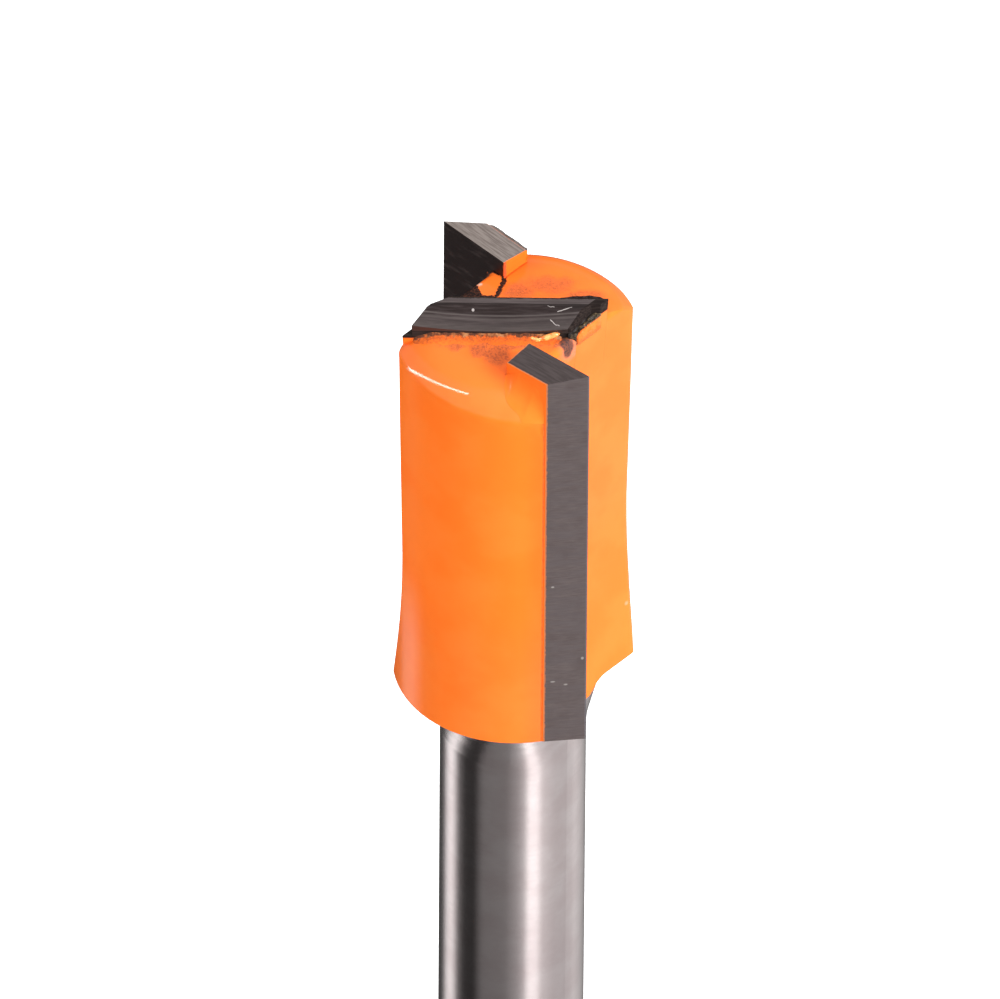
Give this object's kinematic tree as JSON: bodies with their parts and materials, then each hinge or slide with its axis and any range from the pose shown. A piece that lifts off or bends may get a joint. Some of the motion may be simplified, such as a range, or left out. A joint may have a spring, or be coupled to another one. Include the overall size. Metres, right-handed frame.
{
  "type": "router bit",
  "caption": "Straight router bit: a fluted, orange coated head with brazed carbide side tips and a centre tip, on a plain round shank.",
  "frame": {"origin": "centre of the shank's end face, at the bottom centre of the bounding box", "axes": "+Z along the bit's axis from the shank to the cutting end; cutting tip a has its edge on the +X side and its rake face towards +Y, so the bit turns anticlockwise seen from the cutting end"},
  "size_m": [0.0212, 0.0198, 0.09],
  "materials": {
    "coated_steel": "glossy orange coating on the head, bare ground steel on the shank and its cone",
    "carbide": "ground dark grey carbide",
    "braze": "dull silver solder with burnt flux"
  },
  "bodies": {
    "root": {"body": "coated_steel", "cutting_tip_a": "carbide", "cutting_tip_b": "carbide", "centre_tip": "carbide", "braze_a": "braze", "braze_b": "braze", "braze_centre": "braze"}
  },
  "joints": []
}
